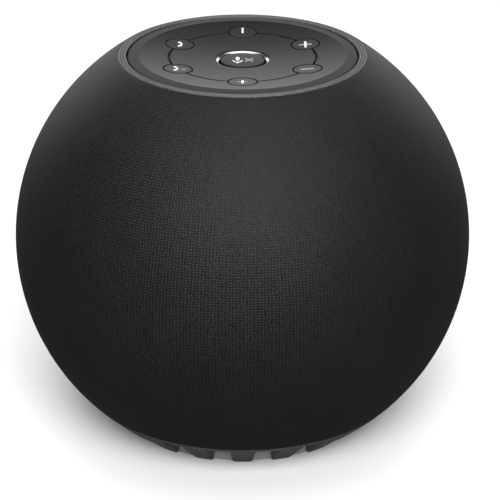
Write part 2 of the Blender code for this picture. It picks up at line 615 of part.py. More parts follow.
def rear_port():
    """The pocket for the power plug and the inlet in its floor."""
    width, height = PORT_IN_W + 2 * PORT_WALL, PORT_IN_H + 2 * PORT_WALL
    bm = rounded_bar_bm(width, height, PORT_FLOOR_Y - 2.0, 80.0, 4.5, PORT_Z)
    housing = finish_object("port_housing", bm, "dark_plastic")
    ball = lathe("trim_port_to_ball", arc(0, 0, BALL_R + 0.25, -90, 90, 48), SEG_BALL * 2, "dark_plastic")
    boolean(housing, ball, "INTERSECT")
    pocket = rounded_bar_bm(PORT_IN_W, PORT_IN_H, PORT_FLOOR_Y, 90.0, 3.0, PORT_Z)
    boolean(housing, finish_object("cut_port_pocket", pocket, "dark_plastic"))
    holes = []
    for radius, x, segments in ((4.3, 0.0, SEG_SMALL), (0.6, 7.2, SEG_TINY)):
        hole = lathe_bm(disc_profile(radius, 50, 60), segments)
        holes.append(moved(hole, (x, 0, PORT_Z), -90.0, "X"))
    combine(housing, "DIFFERENCE", holes)
    barrel = [(0, 0), (4.0, 0), (4.0, 10.1), (2.9, 10.1), (2.9, 4.0), (1.0, 4.0), (1.0, 9.3), (0, 9.3)]
    bm = moved(lathe_bm(barrel, SEG_SMALL), turn_deg=-90.0, axis="X")
    jack = finish_object("power_inlet", bm, "dark_plastic", (0, PORT_FLOOR_Y - JACK_DEPTH, PORT_Z))
    combine(jack, "UNION", [box_bm((9, 7.2, 10.6), (0, 51.9 - PORT_FLOOR_Y + JACK_DEPTH, -0.6))])


def main():
    clear_scene()
    centre = bpy.data.objects.new("ball_centre", None)
    bpy.context.scene.collection.objects.link(centre)
    centre.location = (0, 0, CENTRE_H * MM)
    window = port_window()
    fabric_cover(window)
    grille_shells(window)
    base_skirt()
    base_parts()
    top_panel()
    panel_carrier()
    keys()
    key_mat()
    control_board()
    woofer()
    enclosure()
    tweeters()
    electronics()
    rear_port()


main()
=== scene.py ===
"""Looks of the smart home hub: knitted cover, dished control panel with keys, toothed skirt, and the studio.

Lengths below are millimetres. Heights are above the ball's centre unless a comment says otherwise.
"""

import json
import math

import bmesh
import bpy
from mathutils import Euler, Matrix, Vector
from mathutils.geometry import delaunay_2d_cdt

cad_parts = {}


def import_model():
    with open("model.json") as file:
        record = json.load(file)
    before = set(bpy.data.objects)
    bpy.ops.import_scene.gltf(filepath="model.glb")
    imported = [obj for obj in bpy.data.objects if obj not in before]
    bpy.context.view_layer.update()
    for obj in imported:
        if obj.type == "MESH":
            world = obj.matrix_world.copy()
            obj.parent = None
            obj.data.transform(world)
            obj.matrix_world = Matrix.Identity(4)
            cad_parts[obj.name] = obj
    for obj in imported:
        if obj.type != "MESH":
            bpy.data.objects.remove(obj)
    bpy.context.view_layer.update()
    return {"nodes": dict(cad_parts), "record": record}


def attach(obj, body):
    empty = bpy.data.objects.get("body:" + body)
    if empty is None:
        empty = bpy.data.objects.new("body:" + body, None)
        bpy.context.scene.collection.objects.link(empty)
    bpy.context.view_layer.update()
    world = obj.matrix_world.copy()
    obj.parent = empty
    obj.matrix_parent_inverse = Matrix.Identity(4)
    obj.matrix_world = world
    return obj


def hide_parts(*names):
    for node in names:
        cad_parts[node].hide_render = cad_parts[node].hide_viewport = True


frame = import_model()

MM = 0.001
TAU = math.tau

# ---- sizes shared with the solid model, mm ----------------------------------------------------------------
BALL_R = 75.0
CENTRE_H = 62.5
RIM_Z = 63.5
RIM_HOLE_R = 37.25
FABRIC_T = 0.9
FABRIC_LOW_DEG = -42.54
RIM_ROWS = 3  # pressed ridges on the flat rim
RIM_ROW_DEPTH = 0.32
PANEL_R = 36.75
DISH_R = 33.3
DISH_DEPTH = 2.1
KEY_RING_R = 23.6
KEY_R = 4.4
KEY_HOLE_R = 4.8
MUTE_R = 7.0
BEZEL_IN_R = 7.65
BEZEL_OUT_R = 8.4
BEZEL_SINK, BEZEL_FALL = 0.16, 0.42  # below the dish, and down its inner slope
TEETH = 21
SKIRT_BORE_R = 40.5
TOOTH_LOW_Z = -62.45
SLOT_TOP_Z = -52.35
SKIRT_BEND_Z = -57.0  # the teeth run straight below here
SKIRT_FOOT_BORE_R = 41.7
SKIRT_TOP_DEG = FABRIC_LOW_DEG - 0.27
PORT_Z = -30.0
PORT_IN_W, PORT_IN_H, PORT_WALL = 20.0, 12.0, 1.5
PORT_FLOOR_Y = 58.0

KEY_ANGLES = {
    "power_key": 90,
    "volume_up_key": 30,
    "volume_down_key": -30,
    "pairing_key": -90,
    "hang_up_key": -150,
    "answer_key": 150,
}
KEY_SPOTS = {
    name: (KEY_RING_R * math.cos(math.radians(a)), KEY_RING_R * math.sin(math.radians(a)))
    for name, a in KEY_ANGLES.items()
}

# ---- the knit ---------------------------------------------------------------------------------------------
WALES = 435  # columns of loops round the ball
COURSE_MM = 0.86  # height of one row of loops
KNIT_WANDER = 6.0  # radians by which the loops stray from a true grid
YARN_HEIGHT = 0.00022  # metres

# ---- the camera -------------------------------------------------------------------------------------------
CAMERA_ELEVATION = 24.16
CAMERA_DISTANCE = 9.32 * BALL_R
CAMERA_LENS = 151.3
CAMERA_YAW = 0.202
CAMERA_PITCH = -0.432


# ---- small helpers ----------------------------------------------------------------------------------------
def dish_z(radius):
    return RIM_Z - 0.1 - DISH_DEPTH * (1.0 - (radius / DISH_R) ** 2)


def arc(cx, cz, radius, start_deg, end_deg, steps):
    span = end_deg - start_deg
    angles = [math.radians(start_deg + span * i / steps) for i in range(steps + 1)]
    return [(cx + radius * math.cos(a), cz + radius * math.sin(a)) for a in angles]


def link(name, bm, body, material, smooth_deg=35.0):
    """Makes an object from a bmesh in millimetres above the ball's centre, riding on a body."""
    bmesh.ops.scale(bm, vec=(MM, MM, MM), verts=bm.verts)
    bmesh.ops.translate(bm, vec=(0, 0, CENTRE_H * MM), verts=bm.verts)
    mesh = bpy.data.meshes.new(name)
    bm.to_mesh(mesh)
    bm.free()
    mesh.shade_smooth()
    mesh.set_sharp_from_angle(angle=math.radians(smooth_deg))
    mesh.materials.append(material)
    obj = bpy.data.objects.new(name, mesh)
    bpy.context.scene.collection.objects.link(obj)
    if body:
        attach(obj, body)
    return obj


def lengths(points):
    """The distance along a line of points, from its first one."""
    along = [0.0]
    for (r0, z0), (r1, z1) in zip(points, points[1:]):
        along.append(along[-1] + math.hypot(r1 - r0, z1 - z0))
    return along


def lathe_bm(profile, segments, closed=True, along=None):
    """Turns a profile of (radius, height) round the axis. Its weave map holds turns round and mm along."""
    bm = bmesh.new()
    weave = bm.loops.layers.uv.new("weave")
    points = list(profile) + ([profile[0]] if closed else [])
    along = along or lengths(points)
    rings = []
    for r, z in profile:
        if r < 1e-6:
            rings.append([bm.verts.new((0.0, 0.0, z))] * segments)
            continue
        ring = []
        for i in range(segments):
            a = TAU * i / segments
            ring.append(bm.verts.new((r * math.cos(a), r * math.sin(a), z)))
        rings.append(ring)
    if closed:
        rings.append(rings[0])
    for k in range(len(rings) - 1):
        low, high = rings[k], rings[k + 1]
        for i in range(segments):
            j = (i + 1) % segments
            corners = [(low[i], i, k), (low[j], i + 1, k), (high[j], i + 1, k + 1), (high[i], i, k + 1)]
            seen, kept = set(), []
            for corner in corners:
                if corner[0] not in seen:
                    seen.add(corner[0])
                    kept.append(corner)
            if len(kept) < 3:
                continue
            face = bm.faces.new([c[0] for c in kept])
            for loop, (_, turn, step) in zip(face.loops, kept):
                loop[weave].uv = (turn / segments, along[step])
    return bm


def lathe(name, profile, segments, body, material, closed=True, smooth_deg=35.0, shift=None):
    bm = lathe_bm(profile, segments, closed)
    if closed:
        bmesh.ops.recalc_face_normals(bm, faces=bm.faces)
    if shift:
        bmesh.ops.translate(bm, vec=shift, verts=bm.verts)
    return link(name, bm, body, material, smooth_deg)


# ---- materials --------------------------------------------------------------------------------------------
class Nodes:
    """A short way to write a material's node tree."""

    def __init__(self, name):
        self.material = bpy.data.materials.new(name)
        self.material.use_nodes = True
        self.tree = self.material.node_tree
        self.shader = self.tree.nodes["Principled BSDF"]

    def add(self, kind, **settings):
        node = self.tree.nodes.new(kind)
        for key, value in settings.items():
            setattr(node, key, value)
        return node

    def feed(self, value, socket):
        if isinstance(value, bpy.types.NodeSocket):
            self.tree.links.new(value, socket)
        else:
            socket.default_value = value

    def math(self, operation, *values, clamp=False):
        node = self.add("ShaderNodeMath", operation=operation, use_clamp=clamp)
        for value, socket in zip(values, node.inputs):
            self.feed(value, socket)
        return node.outputs[0]

    def spread(self, value, low, high, to_low=0.0, to_high=1.0, smooth=False):
        node = self.add("ShaderNodeMapRange")
        if smooth:
            node.interpolation_type = "SMOOTHSTEP"
        for v, socket in zip((value, low, high, to_low, to_high), node.inputs):
            self.feed(v, socket)
        return node.outputs[0]

    def noise(self, scale, detail=3.0, roughness=0.55, stretch=None, source="Object"):
        place = self.add("ShaderNodeTexCoord").outputs[source]
        if stretch:
            mapping = self.add("ShaderNodeMapping")
            self.feed(place, mapping.inputs["Vector"])
            mapping.inputs["Scale"].default_value = stretch
            place = mapping.outputs[0]
        node = self.add("ShaderNodeTexNoise")
        self.feed(place, node.inputs["Vector"])
        self.feed(scale, node.inputs["Scale"])
        self.feed(detail, node.inputs["Detail"])
        self.feed(roughness, node.inputs["Roughness"])
        return node.outputs[0]

    def mix(self, factor, a, b):
        node = self.add("ShaderNodeMix", data_type="RGBA")
        self.feed(factor, node.inputs[0])
        self.feed(a, node.inputs[6])
        self.feed(b, node.inputs[7])
        return node.outputs[2]

    def bump(self, height, distance, strength=1.0, after=None):
        node = self.add("ShaderNodeBump")
        self.feed(height, node.inputs["Height"])
        node.inputs["Distance"].default_value = distance
        node.inputs["Strength"].default_value = strength
        if after is not None:
            self.feed(after, node.inputs["Normal"])
        return node.outputs[0]

    def set(self, **values):
        for key, value in values.items():
            self.feed(value, self.shader.inputs[key.replace("_", " ")])
        return self.material


def rgba(r, g=None, b=None):
    if g is None:
        g = b = r
    return (r, g, b, 1.0)


def knit_fabric(name, thread_low, thread_high, gap, gloss):
    """Knitted mesh: a close grid of raised loops, darker between the yarns, with loose fibre. Its gloss is
    painted down between the yarns as shade.
    """
    n = Nodes(name)
    weave = n.add("ShaderNodeUVMap", uv_map="weave").outputs[0]
    parts = n.add("ShaderNodeSeparateXYZ")
    n.feed(weave, parts.inputs[0])
    drift = n.math("SUBTRACT", n.noise(500.0, 2.0), 0.5)
    pull = n.math("SUBTRACT", n.noise(620.0, 2.0), 0.5)
    turns = n.math("MULTIPLY", parts.outputs[0], WALES * TAU)
    round_it = n.math("ADD", turns, n.math("MULTIPLY", drift, KNIT_WANDER))
    climb = n.math("MULTIPLY", parts.outputs[1], TAU / COURSE_MM)
    along = n.math("ADD", climb, n.math("MULTIPLY", pull, KNIT_WANDER))
    across = n.math("ADD", n.math("COSINE", round_it), 0.5)
    rows = n.math("ADD", n.math("COSINE", along), 0.5)
    loops = n.spread(n.math("MULTIPLY", rows, across), -0.75, 2.25)
    fibre = n.noise(1500.0, 3.0)
    height = n.math("ADD", loops, n.math("MULTIPLY", n.math("SUBTRACT", fibre, 0.5), 0.7))
    yarn = n.spread(height, -0.05, 0.55, smooth=True)
    patches = n.spread(n.noise(55.0, 4.0), 0.3, 0.7)
    thread = n.mix(patches, rgba(*thread_low), rgba(*thread_high))
    n.set(Base_Color=n.mix(yarn, rgba(*gap), thread), Roughness=n.spread(fibre, 0.3, 0.7, 0.5, 0.6))
    n.set(Normal=n.bump(height, YARN_HEIGHT, 0.58), Specular_IOR_Level=gloss)
    # Specular tint falls to about a fifth in the gaps between yarns: painted shade over the reflection
    # there.
    n.set(Specular_Tint=n.mix(yarn, rgba(0.18, 0.18, 0.19), rgba(0.94, 0.94, 1.0)))
    return n.material


def dished_plastic():
    """Panel plastic: a smooth dish inside a finely grained band."""
    n = Nodes("dished_plastic")
    place = n.add("ShaderNodeTexCoord").outputs["Object"]
    flat = n.add("ShaderNodeVectorMath", operation="MULTIPLY")
    n.feed(place, flat.inputs[0])
    flat.inputs[1].default_value = (1.0, 1.0, 0.0)
    length = n.add("ShaderNodeVectorMath", operation="LENGTH")
    n.feed(flat.outputs[0], length.inputs[0])
    band = n.spread(length.outputs["Value"], (DISH_R - 0.2) * MM, (DISH_R + 0.3) * MM)
    patches = n.spread(n.noise(35.0, 4.0), 0.35, 0.65)
    dish = n.mix(patches, rgba(0.0122), rgba(0.0136))
    grains = n.noise(2400.0, 2.0)
    grainy = n.mix(grains, rgba(0.020), rgba(0.040))
    n.set(Base_Color=n.mix(band, dish, grainy))
    fine = n.noise(900.0, 3.0)
    smooth_part = n.spread(fine, 0.3, 0.7, 0.25, 0.28)
    grain_part = n.spread(grains, 0.3, 0.7, 0.42, 0.5)
    rougher = n.math("MULTIPLY", n.math("SUBTRACT", grain_part, smooth_part), band)
    n.set(Roughness=n.math("ADD", smooth_part, rougher))
    relief = n.math("MULTIPLY", grains, band)
    n.set(Normal=n.bump(relief, 0.00002, 0.7), Specular_IOR_Level=0.024)
    return n.material


def moulded(name, colour, roughness, grain=1500.0, depth=0.00002, gloss=0.5, lift=1.25):
    """Moulded plastic with a fine spark-eroded grain, faint flow patches and lighter worn edges."""
    n = Nodes(name)
    patches = n.spread(n.noise(35.0, 4.0), 0.35, 0.65)
    worn = n.spread(n.add("ShaderNodeNewGeometry").outputs["Pointiness"], 0.52, 0.6)
    lighter = tuple(c * lift for c in colour)
    base = n.mix(patches, rgba(*colour), rgba(*(c * 1.12 for c in colour)))
    n.set(Base_Color=n.mix(worn, base, rgba(*lighter)))
    grains = n.noise(grain, 2.0)
    n.set(Roughness=n.spread(grains, 0.3, 0.7, roughness - 0.05, roughness + 0.06))
    n.set(Normal=n.bump(grains, depth, 0.7), Specular_IOR_Level=gloss)
    return n.material


def metal(name, colour, roughness, brush=(1.0, 1.0, 40.0), depth=0.000004):
    """Metal with fine drawn lines and small changes of polish."""
    n = Nodes(name)
    lines = n.noise(420.0, 3.0, stretch=brush)
    patches = n.noise(60.0, 3.0)
    n.set(Base_Color=n.mix(patches, rgba(*colour), rgba(*(c * 0.88 for c in colour))), Metallic=1.0)
    n.set(Roughness=n.spread(lines, 0.3, 0.7, roughness * 0.8, roughness * 1.25))
    n.set(Normal=n.bump(lines, depth, 0.6))
    return n.material


def printed(name, brightness):
    """Screen-printed ink, a little uneven and rough."""
    n = Nodes(name)
    grain = n.noise(4000.0, 3.0)
    low, high = brightness * 0.9, brightness
    n.set(Base_Color=n.mix(grain, rgba(low), rgba(high)))
    n.set(Roughness=n.spread(grain, 0.3, 0.7, 0.45, 0.6), Normal=n.bump(grain, 0.00001, 0.5))
    return n.material


def perforated(name):
    """Fine perforated sheet metal, painted grey: rows of round holes, staggered."""
    n = Nodes(name)
    weave = n.add("ShaderNodeUVMap", uv_map="weave").outputs[0]
    parts = n.add("ShaderNodeSeparateXYZ")
    n.feed(weave, parts.inputs[0])
    across = n.math("COSINE", n.math("MULTIPLY", parts.outputs[0], 300 * TAU))
    rows = n.math("COSINE", n.math("MULTIPLY", parts.outputs[1], TAU / 0.84))
    web = n.spread(n.math("MULTIPLY", across, rows), 0.45, 0.6, 1.0, 0.0, smooth=True)
    paint = n.mix(n.spread(n.noise(40.0), 0.3, 0.7), rgba(0.30), rgba(0.34))
    n.set(Base_Color=n.mix(web, rgba(0.13), paint), Metallic=0.2)
    n.set(Roughness=n.spread(n.noise(1800.0), 0.3, 0.7, 0.42, 0.55), Normal=n.bump(web, 0.0001, 0.6))
    return n.material


def paper(name, colour):
    """Pressed pulp with visible fibres."""
    n = Nodes(name)
    fibres = n.noise(700.0, 5.0, 0.7)
    n.set(Base_Color=n.mix(n.spread(fibres, 0.35, 0.65), rgba(*colour), rgba(*(c * 1.6 for c in colour))))
    n.set(Roughness=n.spread(fibres, 0.3, 0.7, 0.75, 0.9), Normal=n.bump(fibres, 0.00008, 0.8))
    return n.material


def circuit(name):
    """Green solder mask over copper tracks, which show as slightly lighter lines."""
    n = Nodes(name)
    place = n.add("ShaderNodeTexCoord").outputs["Object"]
    cells = n.add("ShaderNodeTexVoronoi", feature="DISTANCE_TO_EDGE", distance="MANHATTAN")
    n.feed(place, cells.inputs["Vector"])
    cells.inputs["Scale"].default_value = 260.0
    tracks = n.spread(cells.outputs["Distance"], 0.03, 0.09, 1.0, 0.0)
    patches = n.noise(50.0)
    mask = n.mix(patches, rgba(0.006, 0.05, 0.022), rgba(0.009, 0.065, 0.03))
    n.set(Base_Color=n.mix(tracks, mask, rgba(0.02, 0.12, 0.05)), Normal=n.bump(tracks, 0.00002, 0.5))
    n.set(Roughness=n.spread(patches, 0.3, 0.7, 0.3, 0.42), Coat_Weight=0.3, Coat_Roughness=0.15)
    return n.material


FABRIC = knit_fabric(
    "knit_fabric", (0.0082, 0.0082, 0.0089), (0.0104, 0.0104, 0.0112), (0.0032, 0.0032, 0.0034), 0.31
)
# The flat rim's knit: the same yarn painted about ten times lighter, a painted sheen where the rim catches
# the bright backdrop at a grazing angle; it is also glossier.
RIM_FABRIC_PAINTED_SHEEN = knit_fabric(
    "rim_knit_painted_sheen", (0.085, 0.085, 0.086), (0.098, 0.098, 0.1), (0.018, 0.018, 0.018), 0.75
)
PANEL = dished_plastic()
KEY = moulded("key_plastic", (0.0135, 0.0135, 0.0137), 0.32, 2400.0, 0.00002, 0.035)
SKIRT = moulded("skirt_plastic", (0.046, 0.046, 0.047), 0.5, 1800.0, 0.00002)
DARK = moulded("dark_plastic", (0.018, 0.018, 0.018), 0.5)
GREY = moulded("abs_grey", (0.05, 0.05, 0.052), 0.55)
RUBBER = moulded("rubber", (0.020, 0.020, 0.020), 0.8, 900.0, 0.00005, lift=1.5)
SILICONE = moulded("silicone", (0.22, 0.22, 0.22), 0.55, 600.0, 0.00003)
CHROME = metal("chrome", (0.55, 0.55, 0.56), 0.2, depth=0.0000005)
STEEL = metal("steel", (0.56, 0.56, 0.57), 0.3)
ALUMINIUM = metal("aluminium", (0.74, 0.74, 0.76), 0.35, (40.0, 1.0, 1.0))
MAGNET = moulded("magnet", (0.045, 0.045, 0.048), 0.6, 500.0, 0.00006)
CONE = paper("paper_cone", (0.02, 0.02, 0.02))
COPPER = metal("copper", (0.72, 0.36, 0.2), 0.28, (1.0, 1.0, 90.0), 0.00002)
BOARD = circuit("circuit_board")
MESH = perforated("grille_mesh")
INK = printed("white_ink", 0.9)
DIM_INK = printed("grey_ink", 0.3)
FAINT_INK = printed("faint_ink", 0.17)

BY_SLOT = {
    "knit_fabric": FABRIC, "dark_plastic": DARK, "panel_plastic": KEY, "chrome": CHROME,
    "skirt_plastic": SKIRT, "rubber": RUBBER, "silicone": SILICONE, "circuit_board": BOARD, "steel": STEEL,
    "aluminium": ALUMINIUM, "magnet": MAGNET, "paper_cone": CONE, "copper": COPPER, "abs_grey": GREY,
}


def dress_solids():
    """Gives each solid that stays visible the material of its slot."""
    slots = {part["node"]: part["material_slot"] for part in frame["record"]["subparts"]}
    for name, obj in frame["nodes"].items():
        for i in range(len(obj.material_slots)):
            obj.material_slots[i].material = BY_SLOT[slots[name]]


# ---- fabric cover -----------------------------------------------------------------------------------------
def fabric_cover():
    """One knitted sleeve, rolled over the flat rim and tucked into the groove round the panel."""
    crease_r = math.sqrt(BALL_R**2 - RIM_Z**2)
    crease_deg = math.degrees(math.asin(RIM_Z / BALL_R))
    outer = arc(0, 0, BALL_R, FABRIC_LOW_DEG, crease_deg - 0.45, 150)
    span = crease_r - RIM_HOLE_R - 0.12
    steps = 54
    flat, rows = [], []
    for i in range(steps + 1):
        t = i / steps
        sunk = RIM_ROW_DEPTH * (1.0 - abs(math.sin(math.pi * RIM_ROWS * t)) ** 0.7)
        flat.append((crease_r - 0.02 - span * t, RIM_Z - sunk))
        rows.append(COURSE_MM * (RIM_ROWS * t - 0.5))
    roll = [(RIM_HOLE_R, RIM_Z - RIM_ROW_DEPTH - 0.15)]
    tuck = [(RIM_HOLE_R, RIM_Z - 1.3), (RIM_HOLE_R, RIM_Z - 2.0)]
    inner = [(RIM_HOLE_R + FABRIC_T, RIM_Z - 2.0), (RIM_HOLE_R + FABRIC_T, RIM_Z - 0.95)]
    inner += arc(0, 0, BALL_R - FABRIC_T, 56.0, FABRIC_LOW_DEG, 60)
    ball_rows = lengths(outer + flat[:1])
    ball_rows = [v - ball_rows[-1] + rows[0] for v in ball_rows[:-1]]
    rest = roll + tuck + inner
    rest_rows = [rows[-1] + v for v in lengths([flat[-1]] + rest + [outer[0]])[1:]]
    bm = lathe_bm(outer + flat + rest, 384, along=ball_rows + rows + rest_rows)
    bmesh.ops.recalc_face_normals(bm, faces=bm.faces)
    cover = link("knitted_cover", bm, "housing", FABRIC, 60.0)
    width, height = PORT_IN_W + 2 * PORT_WALL + 0.6, PORT_IN_H + 2 * PORT_WALL + 0.6
    cutter = link("port_window_cutter", rounded_bar_bm(width, height, 55.0, 80.0, 4.8), None, FABRIC)
    cut = cover.modifiers.new("port_window", "BOOLEAN")
    cut.operation, cut.solver, cut.object = "DIFFERENCE", "EXACT", cutter
    apply_modifiers(cover)
    bpy.data.objects.remove(cutter)
    # Faces on the flat rim take the rim knit, whose lighter colour is a painted sheen.
    cover.data.materials.append(RIM_FABRIC_PAINTED_SHEEN)
    for face in cover.data.polygons:
        inside = math.hypot(face.center.x, face.center.y) < (crease_r - 0.03) * MM
        if inside and face.center.z > (CENTRE_H + RIM_Z - RIM_ROW_DEPTH - 0.3) * MM:
            face.material_index = 1
    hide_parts("fabric_cover")
    return cover


def apply_modifiers(obj):
    """Makes an object's modifiers part of its mesh."""
    graph = bpy.context.evaluated_depsgraph_get()
    shaped = obj.evaluated_get(graph)
    mesh = bpy.data.meshes.new_from_object(shaped, preserve_all_data_layers=True, depsgraph=graph)
    old = obj.data
    obj.modifiers.clear()
    obj.data = mesh
    bpy.data.meshes.remove(old)


# ---- control panel ----------------------------------------------------------------------------------------
def circle(radius, centre=(0.0, 0.0), steps=180, start_deg=0.0):
    out = []
    for i in range(steps):
        a = TAU * i / steps + math.radians(start_deg)
        out.append((centre[0] + radius * math.cos(a), centre[1] + radius * math.sin(a)))
    return out


def flat_mesh(loops, inside):
    """Triangulates the plane between closed loops. inside(x, y) says which triangles stay."""
    points, edges = [], []
    for loop in loops:
        first = len(points)
        points += [Vector(p) for p in loop]
        count = len(loop)
        edges += [(first + i, first + (i + 1) % count) for i in range(count)]
    out, _, faces, _, _, _ = delaunay_2d_cdt(points, edges, [], 0, 1e-5)
    kept = []
    for face in faces:
        x = sum(out[i].x for i in face) / len(face)
        y = sum(out[i].y for i in face) / len(face)
        if inside(x, y):
            kept.append(face)
    return out, kept


GROOVE_HALF = 0.42
GROOVE_DEEP = 0.75
HOLE_EDGE = 0.3


def groove_drop(radius):
    """How far the ring groove sinks below the dish."""
    off = abs(radius - KEY_RING_R)
    if off >= GROOVE_HALF:
        return 0.0
    return GROOVE_DEEP * min(1.0, (GROOVE_HALF - off) / 0.16)


def panel_z(x, y):
    """The panel's face: the dish, its soft shoulder, the raised band outside it, and every rounded edge."""
    r = math.hypot(x, y)
    shoulder_r, blend = DISH_R, 0.35
    band = RIM_Z - 0.10 - 0.055 * max(0.0, r - DISH_R)
    if r < shoulder_r - blend:
        z = dish_z(r)
    elif r > shoulder_r + blend:
        z = band
    else:
        t = (r - shoulder_r + blend) / (2 * blend)
        z = (1 - t) * dish_z(r) + t * band
    z -= groove_drop(r)
    if r > PANEL_R - 0.4:
        t = (r - PANEL_R + 0.4) / 0.4
        z -= 0.4 * (1 - math.sqrt(max(0.0, 1 - t * t)))
    near = min(math.hypot(x - kx, y - ky) for kx, ky in KEY_SPOTS.values()) - KEY_HOLE_R
    near = min(near, r - BEZEL_OUT_R - 0.12)
    if near < HOLE_EDGE:
        t = 1 - max(near, 0.0) / HOLE_EDGE
        z -= 0.16 * (1 - math.sqrt(max(0.0, 1 - t * t)))
    return z


def face_normals(mesh):
    """Gives the panel's face the exact slope of panel_z, and leaves its side walls level."""
    step = 0.01
    normals = []
    for vert in mesh.vertices:
        x, y, z = vert.co.x / MM, vert.co.y / MM, vert.co.z / MM - CENTRE_H
        if abs(z - panel_z(x, y)) > 0.5:
            normals.append(Vector((x, y, 0.0)).normalized())
            continue
        slope_x = (panel_z(x + step, y) - panel_z(x - step, y)) / (2 * step)
        slope_y = (panel_z(x, y + step) - panel_z(x, y - step)) / (2 * step)
        normals.append(Vector((-slope_x, -slope_y, 1.0)).normalized())
    mesh.normals_split_custom_set_from_vertices(normals)


def top_panel():
    """The dished panel with its ring groove and the holes for the keys."""
    ring = [BEZEL_OUT_R + 0.12, BEZEL_OUT_R + 0.2, BEZEL_OUT_R + 0.34]
    ring += [9.5 + 1.2 * i for i in range(11)] + [22.4, 22.9]
    ring += [KEY_RING_R + offset for offset in (-0.5, -0.42, -0.26, 0.0, 0.26, 0.42, 0.5)]
    ring += [24.4, 25.0, 26.2, 27.4, 28.6, 29.8, 31.0, 32.0, 32.6]
    ring += [32.95, 33.12, 33.3, 33.48, 33.65, 34.0, 35.0, 35.9]
    ring += [PANEL_R - 0.4, PANEL_R - 0.25, PANEL_R - 0.12, PANEL_R - 0.04, PANEL_R]
    loops = [circle(r, steps=216) for r in ring]
    for spot in KEY_SPOTS.values():
        loops += [circle(KEY_HOLE_R + o, spot, 84) for o in (0.0, 0.06, 0.13, 0.22, 0.45)]

    def inside(x, y):
        if math.hypot(x, y) < BEZEL_OUT_R + 0.12 or math.hypot(x, y) > PANEL_R:
            return False
        return all(math.hypot(x - kx, y - ky) > KEY_HOLE_R for kx, ky in KEY_SPOTS.values())

    points, faces = flat_mesh(loops, inside)
    bm = bmesh.new()
    verts = [bm.verts.new((p.x, p.y, panel_z(p.x, p.y))) for p in points]
    for face in faces:
        bm.faces.new([verts[i] for i in face])
    bmesh.ops.delete(bm, geom=[v for v in bm.verts if not v.link_faces], context="VERTS")
    bmesh.ops.recalc_face_normals(bm, faces=bm.faces)
    if sum(f.normal.z for f in bm.faces) < 0:
        bmesh.ops.reverse_faces(bm, faces=bm.faces)
    rim = [e for e in bm.edges if len(e.link_faces) == 1]
    moved = bmesh.ops.extrude_edge_only(bm, edges=rim)["geom"]
    down = [g for g in moved if isinstance(g, bmesh.types.BMVert)]
    bmesh.ops.translate(bm, vec=(0, 0, -1.9), verts=down)
    panel = link("control_panel", bm, "housing", PANEL, 40.0)
    face_normals(panel.data)
    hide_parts("top_panel")


def cap_bm(centre, radius, top_z, edge, depth, crown=0.0, steps=96):
    """A round key's cap: its face follows top_z, its edge is rounded, and its side goes down by depth."""
    bm = bmesh.new()
    rows = []
    for t in (0.25, 0.5, 0.75, 0.9):
        rows.append((radius - edge) * t)
    rows.append(radius - edge)
    rounded = [radius - edge + edge * math.sin(math.radians(a)) for a in (18, 36, 54, 72, 90)]
    drops = [edge * (1 - math.cos(math.radians(a))) for a in (18, 36, 54, 72, 90)]
    hub = bm.verts.new((*centre, top_z(*centre) + crown))
    rings = []
    for r, drop in [(r, 0.0) for r in rows] + list(zip(rounded, drops)) + [(radius, depth)]:
        ring = []
        for x, y in circle(r, centre, steps):
            lift = crown * (1 - (r / radius) ** 2)
            ring.append(bm.verts.new((x, y, top_z(x, y) + lift - drop)))
        rings.append(ring)
    for i in range(steps):
        j = (i + 1) % steps
        bm.faces.new((hub, rings[0][i], rings[0][j]))
        for a, b in zip(rings, rings[1:]):
            bm.faces.new((a[i], b[i], b[j], a[j]))
    return bm


def dish_at(x, y):
    return dish_z(math.hypot(x, y))


def keys():
    for name, spot in KEY_SPOTS.items():
        bm = cap_bm(spot, KEY_R, lambda x, y: dish_at(x, y), 0.22, 1.6)
        cap = link(name + "_cap", bm, name, KEY, 50.0)
        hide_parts(name)
    top = dish_z(0) - 0.12
    bm = cap_bm((0.0, 0.0), MUTE_R, lambda x, y: top, 0.25, 1.7, 0.05, 128)
    cap = link("mute_key_cap", bm, "mute_key", KEY, 50.0)
    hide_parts("mute_key")
    high = dish_z(BEZEL_OUT_R)
    top = high - BEZEL_SINK
    bezel = [(BEZEL_OUT_R, high - 1.9), (BEZEL_OUT_R, top), (BEZEL_IN_R + 0.04, top - BEZEL_FALL)]
    bezel += [(BEZEL_IN_R, top - BEZEL_FALL - 0.06), (BEZEL_IN_R, high - 1.9)]
    ring = lathe("chrome_bezel", bezel, 192, "housing", CHROME, smooth_deg=30.0)
    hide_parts("mute_bezel")


# ---- printed symbols --------------------------------------------------------------------------------------
INK_LIFT = 0.03
MUTE_MIC_X = -1.6
MUTE_CROSS_X = 2.1


def symbol(name, outlines, body, material, surface, holes=()):
    """A thin printed shape lying on a key's face. outlines and holes are lists of closed loops of points."""
    def contains(loop, x, y):
        hit = False
        for (x0, y0), (x1, y1) in zip(loop, loop[1:] + loop[:1]):
            if (y0 > y) != (y1 > y) and x < (x1 - x0) * (y - y0) / (y1 - y0) + x0:
                hit = not hit
        return hit

    def inside(x, y):
        filled = any(contains(loop, x, y) for loop in outlines)
        return filled and not any(contains(loop, x, y) for loop in holes)

    points, faces = flat_mesh(list(outlines) + list(holes), inside)
    bm = bmesh.new()
    verts = [bm.verts.new((p.x, p.y, surface(p.x, p.y) + INK_LIFT)) for p in points]
    for face in faces:
        bm.faces.new([verts[i] for i in face])
    bmesh.ops.delete(bm, geom=[v for v in bm.verts if not v.link_faces], context="VERTS")
    bmesh.ops.recalc_face_normals(bm, faces=bm.faces)
    if sum(f.normal.z for f in bm.faces) < 0:
        bmesh.ops.reverse_faces(bm, faces=bm.faces)
    rim = [e for e in bm.edges if len(e.link_faces) == 1]
    moved = bmesh.ops.extrude_edge_only(bm, edges=rim)["geom"]
    down = [g for g in moved if isinstance(g, bmesh.types.BMVert)]
    bmesh.ops.translate(bm, vec=(0, 0, -0.05), verts=down)
    return link(name, bm, body, material, 30.0)


